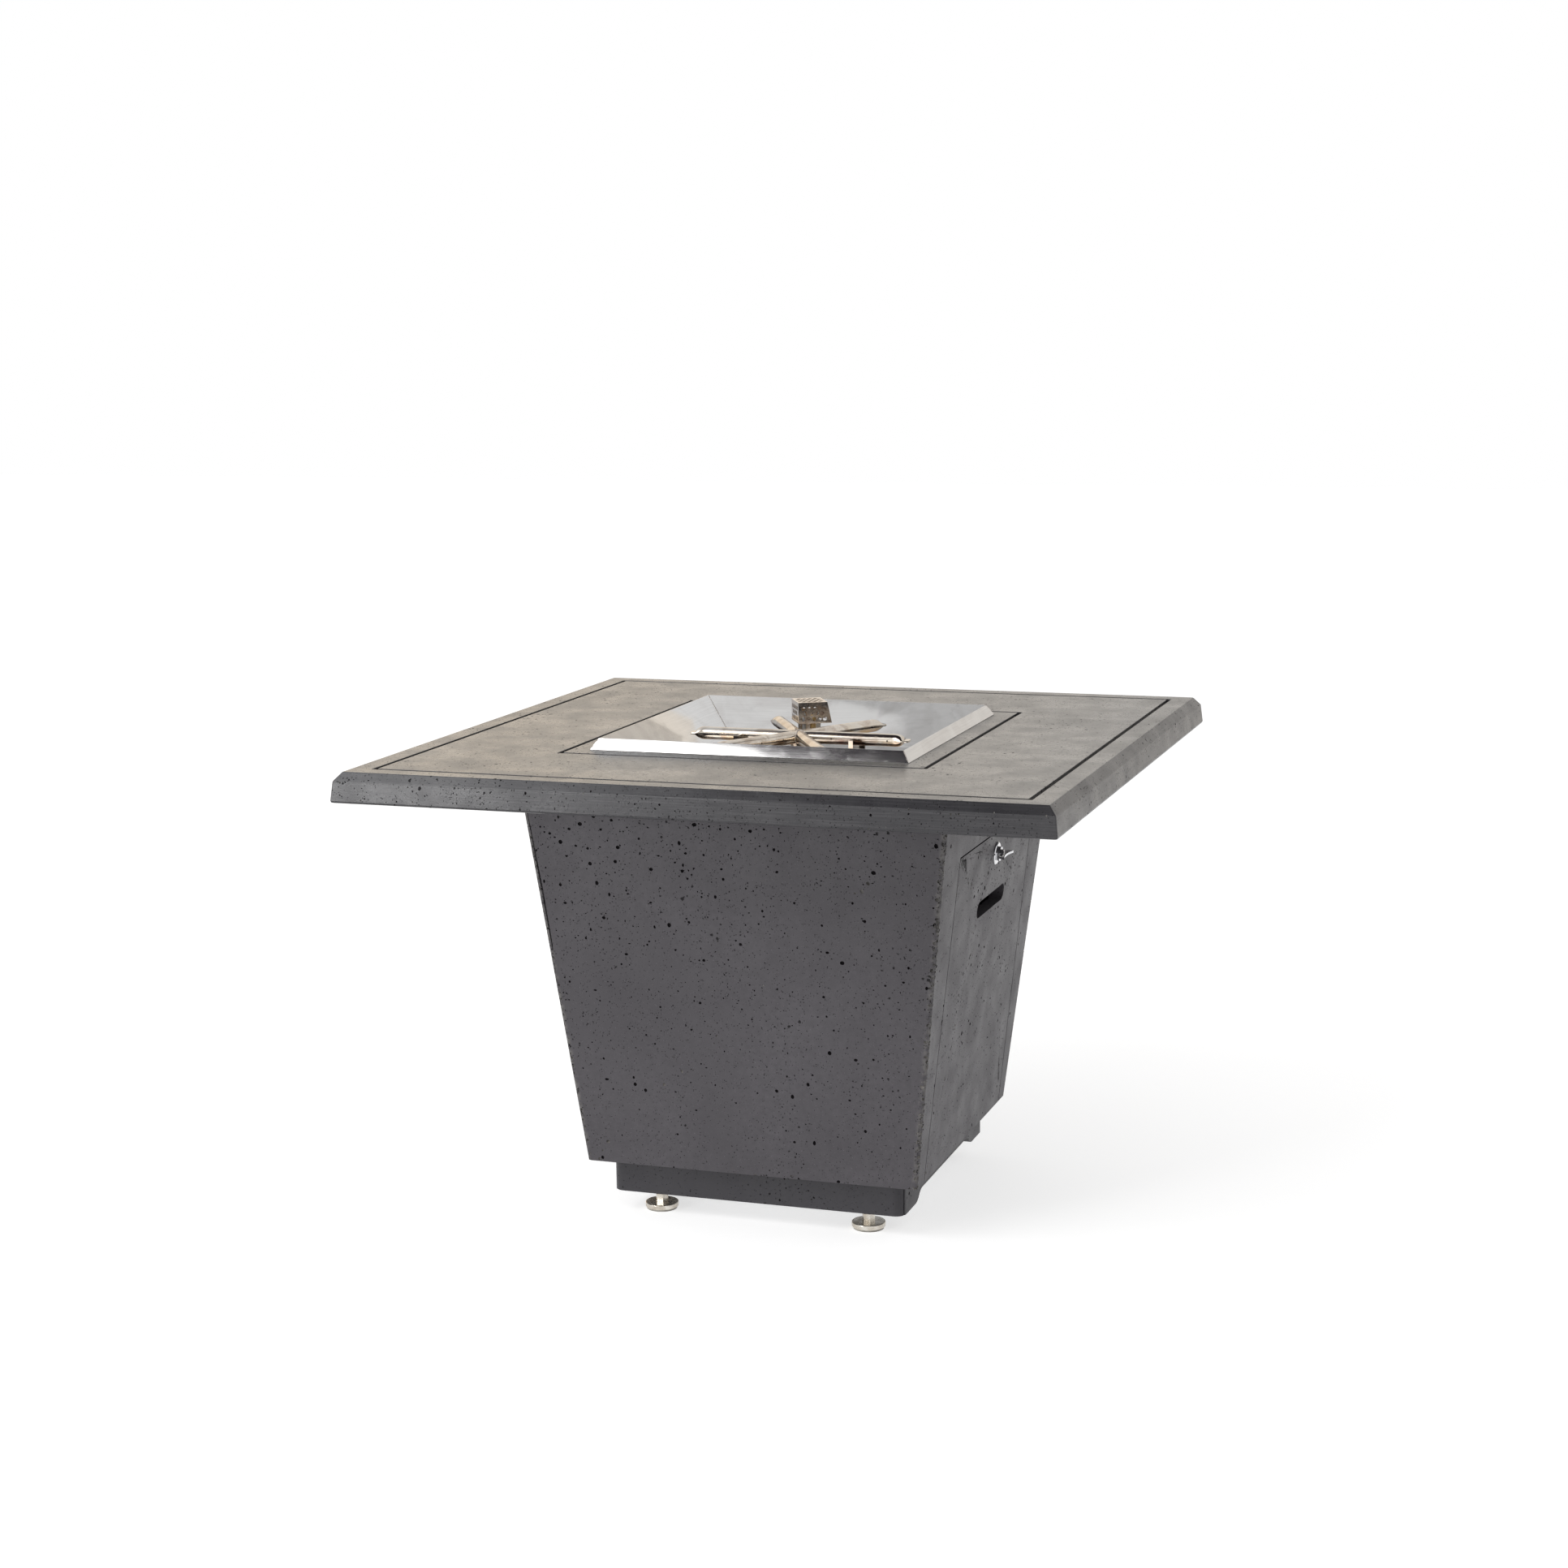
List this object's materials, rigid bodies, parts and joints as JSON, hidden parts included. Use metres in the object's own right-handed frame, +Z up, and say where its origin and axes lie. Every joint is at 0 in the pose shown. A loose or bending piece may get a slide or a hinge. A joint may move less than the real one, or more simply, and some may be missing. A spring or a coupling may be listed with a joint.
{
  "type": "gas fire table",
  "caption": "Square cast-concrete gas fire table with a drop-in burner pan, a star burner under a pilot hood, and a tapered base with an access door and levelling feet.",
  "frame": {"origin": "on the floor under the middle of the table", "axes": "+X towards the side with the access door, +Y towards the back, +Z up; the pictured front faces -Y"},
  "size_m": [0.9136, 0.9136, 0.6476],
  "materials": {
    "concrete_top": "cast, fine pits, lightly sealed",
    "concrete_base": "cast, dense pits, matte",
    "pan_steel": "brushed stainless",
    "burner_steel": "polished stainless with heat tint",
    "hood_steel": "perforated stainless sheet with heat tint",
    "chrome": "polished plate",
    "zinc_steel": "bright zinc plate",
    "powder_black": "fine powder coat",
    "brass": "machined",
    "foot_nickel": "nickel plate, warm tone",
    "pad_plastic": "moulded",
    "black_plastic": "moulded",
    "white_ceramic": "fired, unglazed",
    "tube_aluminium": "drawn tube",
    "copper": "drawn copper",
    "wire_silicone": "silicone sleeve"
  },
  "bodies": {
    "table": {"air_mixer": "zinc_steel", "base_hinge_leaves": "zinc_steel", "base_hinge_screws": "zinc_steel", "base_shell": "concrete_base", "burner_arm_back_left": "burner_steel", "burner_arm_back_right": "burner_steel", "burner_arm_front_left": "burner_steel", "burner_arm_front_right": "burner_steel", "burner_arm_left": "burner_steel", "burner_arm_right": "burner_steel", "burner_hub": "burner_steel", "burner_leg_left": "burner_steel", "burner_leg_right": "burner_steel", "burner_pan": "pan_steel", "control_panel": "powder_black", "control_valve": "brass", "electrode_insulator": "white_ceramic", "floor_panel": "zinc_steel", "foot_inserts": "brass", "gas_inlet": "brass", "gas_jet": "brass", "gas_tube": "tube_aluminium", "hinge_pins": "zinc_steel", "igniter_bezel": "chrome", "igniter_box": "black_plastic", "igniter_electrode": "zinc_steel", "igniter_wire": "wire_silicone", "inlet_nipple": "burner_steel", "pan_head_screws": "zinc_steel", "pan_nuts": "zinc_steel", "pilot_bracket": "hood_steel", "pilot_burner": "brass", "pilot_hood": "hood_steel", "pilot_tube": "tube_aluminium", "strike_plate": "zinc_steel", "tabletop": "concrete_top", "thermocouple": "zinc_steel", "thermocouple_lead": "copper", "top_bolts": "zinc_steel", "top_inserts": "brass"},
    "door": {"door_panel": "concrete_base", "door_hinge_leaves": "zinc_steel", "door_hinge_screws": "zinc_steel", "latch_body": "chrome", "latch_nut": "zinc_steel"},
    "latch": {"latch_spindle": "zinc_steel", "latch_wing": "chrome", "latch_cam": "zinc_steel", "cam_nut": "zinc_steel"},
    "valve_stem": {"valve_stem": "zinc_steel"},
    "knob": {"control_knob": "black_plastic"},
    "igniter_button": {"igniter_button": "black_plastic"},
    "foot_front_left": {"foot_front_left": "foot_nickel", "foot_pad_front_left": "pad_plastic"},
    "foot_back_left": {"foot_back_left": "foot_nickel", "foot_pad_back_left": "pad_plastic"},
    "foot_front_right": {"foot_front_right": "foot_nickel", "foot_pad_front_right": "pad_plastic"},
    "foot_back_right": {"foot_back_right": "foot_nickel", "foot_pad_back_right": "pad_plastic"}
  },
  "joints": [
    {"name": "door_tilt", "type": "hinge", "parent": "table", "child": "door", "pos_m": [0.1755, 0, 0.038], "axis": [0, 1, 0], "range_deg": [0, 35]},
    {"name": "latch_turn", "type": "hinge", "parent": "door", "child": "latch", "pos_m": [0.26914, 0, 0.468], "axis": [0.9935, 0, -0.1141], "range_deg": [0, 90]},
    {"name": "valve_turn", "type": "hinge", "parent": "table", "child": "valve_stem", "pos_m": [0.205, -0.145, 0.462], "axis": [1, 0, 0], "range_deg": [0, 180]},
    {"name": "knob_push", "type": "slide", "parent": "valve_stem", "child": "knob", "axis": [-1, 0, 0], "range_m": [0, 0.004], "stiffness_N_per_m": 1500, "springref_m": -0.002},
    {"name": "igniter_push", "type": "slide", "parent": "table", "child": "igniter_button", "axis": [-1, 0, 0], "range_m": [0, 0.006], "stiffness_N_per_m": 1200, "springref_m": -0.002},
    {"name": "level_front_left", "type": "slide", "parent": "table", "child": "foot_front_left", "axis": [0, 0, -1], "range_m": [-0.004, 0.012]},
    {"name": "level_back_left", "type": "slide", "parent": "table", "child": "foot_back_left", "axis": [0, 0, -1], "range_m": [-0.004, 0.012]},
    {"name": "level_front_right", "type": "slide", "parent": "table", "child": "foot_front_right", "axis": [0, 0, -1], "range_m": [-0.004, 0.012]},
    {"name": "level_back_right", "type": "slide", "parent": "table", "child": "foot_back_right", "axis": [0, 0, -1], "range_m": [-0.004, 0.012]}
  ]
}
